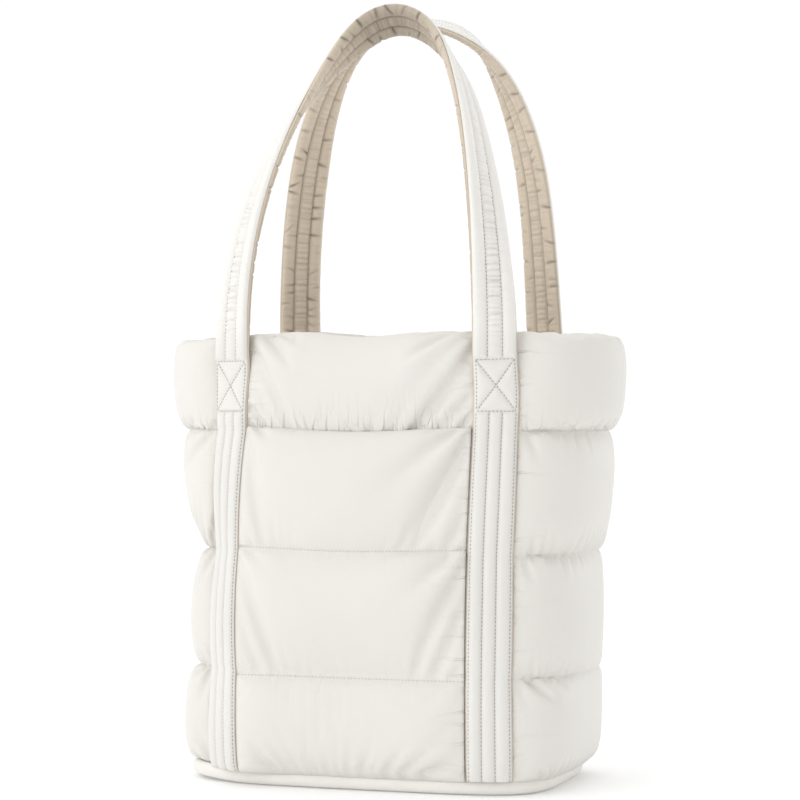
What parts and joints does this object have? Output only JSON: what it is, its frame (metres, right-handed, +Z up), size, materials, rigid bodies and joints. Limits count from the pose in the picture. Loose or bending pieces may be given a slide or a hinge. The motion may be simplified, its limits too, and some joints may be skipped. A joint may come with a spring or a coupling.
{
  "type": "quilted tote bag",
  "caption": "Tall padded tote bag with puffed quilted rows, a patch pocket on the front, a flat padded base and long strap handles that stand up from the rim.",
  "frame": {"origin": "middle of the base panel's underside, on the surface the bag stands on", "axes": "+Z up, front with the pocket towards -Y, +X to the right as seen from the front"},
  "size_m": [0.4052, 0.2275, 0.6776],
  "materials": {
    "ivory_nylon": "soft satin nylon",
    "taupe_nylon": "soft satin nylon"
  },
  "bodies": {
    "root": {"body_shell": "ivory_nylon", "base_panel": "ivory_nylon", "front_pocket": "ivory_nylon", "front_strap_face": "ivory_nylon", "front_strap_lining": "taupe_nylon", "back_strap_face": "ivory_nylon", "back_strap_lining": "taupe_nylon"}
  },
  "joints": []
}
